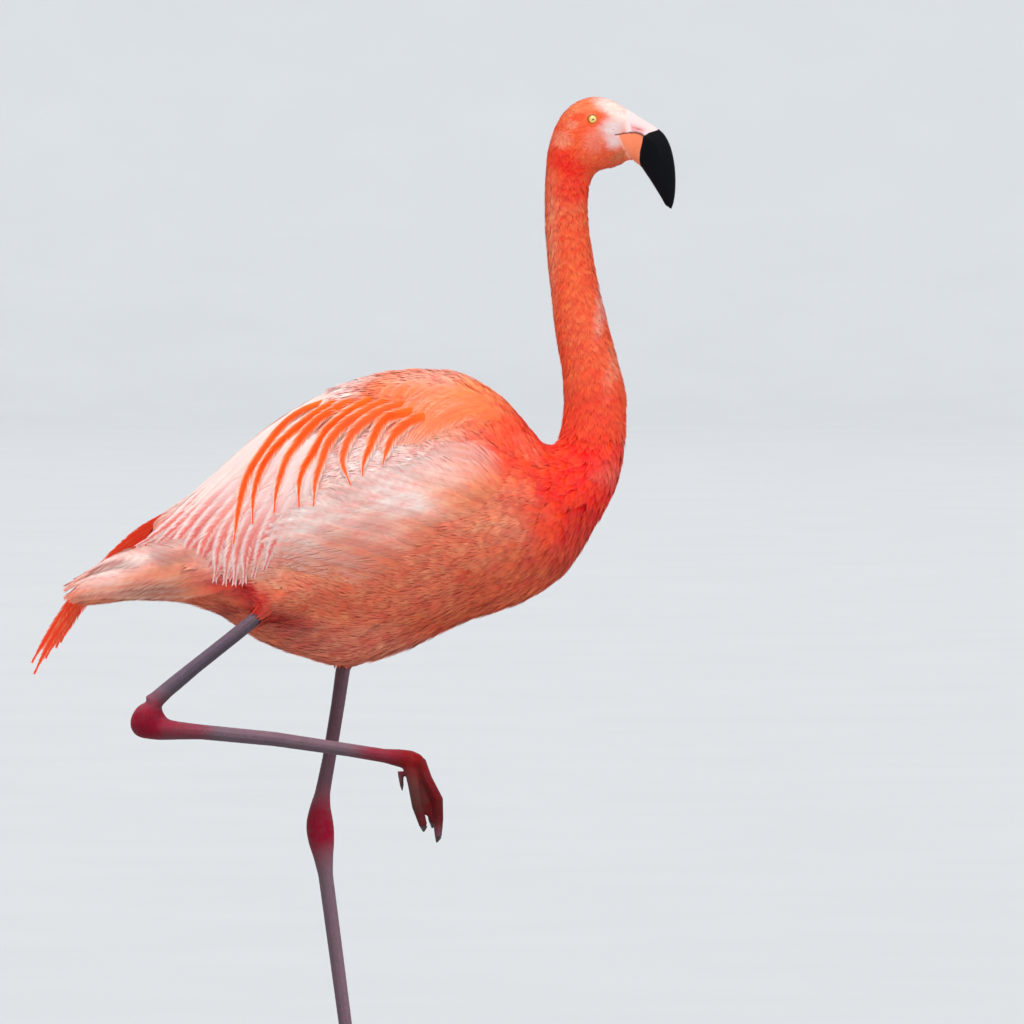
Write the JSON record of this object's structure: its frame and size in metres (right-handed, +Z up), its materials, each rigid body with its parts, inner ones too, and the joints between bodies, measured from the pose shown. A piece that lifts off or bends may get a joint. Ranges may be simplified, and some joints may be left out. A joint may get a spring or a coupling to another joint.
{
  "type": "flamingo",
  "caption": "Life-size walking flamingo with one webbed foot on the floor, the other leg folded under the body, a tall upright neck and a bent-down black-tipped bill.",
  "frame": {"origin": "on the floor, on the flat under the middle toe of the standing foot, below the bird's centre of mass", "axes": "+X the way the bird faces, +Y to its left, +Z up"},
  "size_m": [0.6215, 0.201, 0.9719],
  "materials": {
    "plumage_orange": "soft overlapping feathers",
    "plumage_pink": "soft long feathers",
    "plumage_red": "loose feathers",
    "leg_grey": "fine scaly skin",
    "joint_red": "scaly wet-looking skin",
    "bill": "satin horn, pale pink at its base",
    "eye": "wet gloss",
    "claw": "satin horn"
  },
  "bodies": {
    "root": {"trunk": "plumage_orange", "neck_lower": "plumage_orange", "neck_middle": "plumage_orange", "neck_upper": "plumage_orange", "head": "plumage_orange", "tail": "plumage_pink", "wing_left": "plumage_pink", "wing_right": "plumage_pink", "plumes_left": "plumage_red", "thigh_left": "plumage_red", "thigh_right": "plumage_red", "bill_upper": "bill", "bill_lower": "bill", "eye_left": "eye", "eye_right": "eye", "shank_left": "leg_grey", "shank_right": "leg_grey", "tarsus_left": "leg_grey", "tarsus_right": "leg_grey", "hock_left": "joint_red", "hock_right": "joint_red", "foot_left": "joint_red", "foot_right": "joint_red", "hind_toe_left": "joint_red", "hind_toe_right": "joint_red", "claw_left_inner": "claw", "claw_left_middle": "claw", "claw_left_outer": "claw", "claw_left_hind": "claw", "claw_right_inner": "claw", "claw_right_middle": "claw", "claw_right_outer": "claw", "claw_right_hind": "claw"}
  },
  "joints": []
}
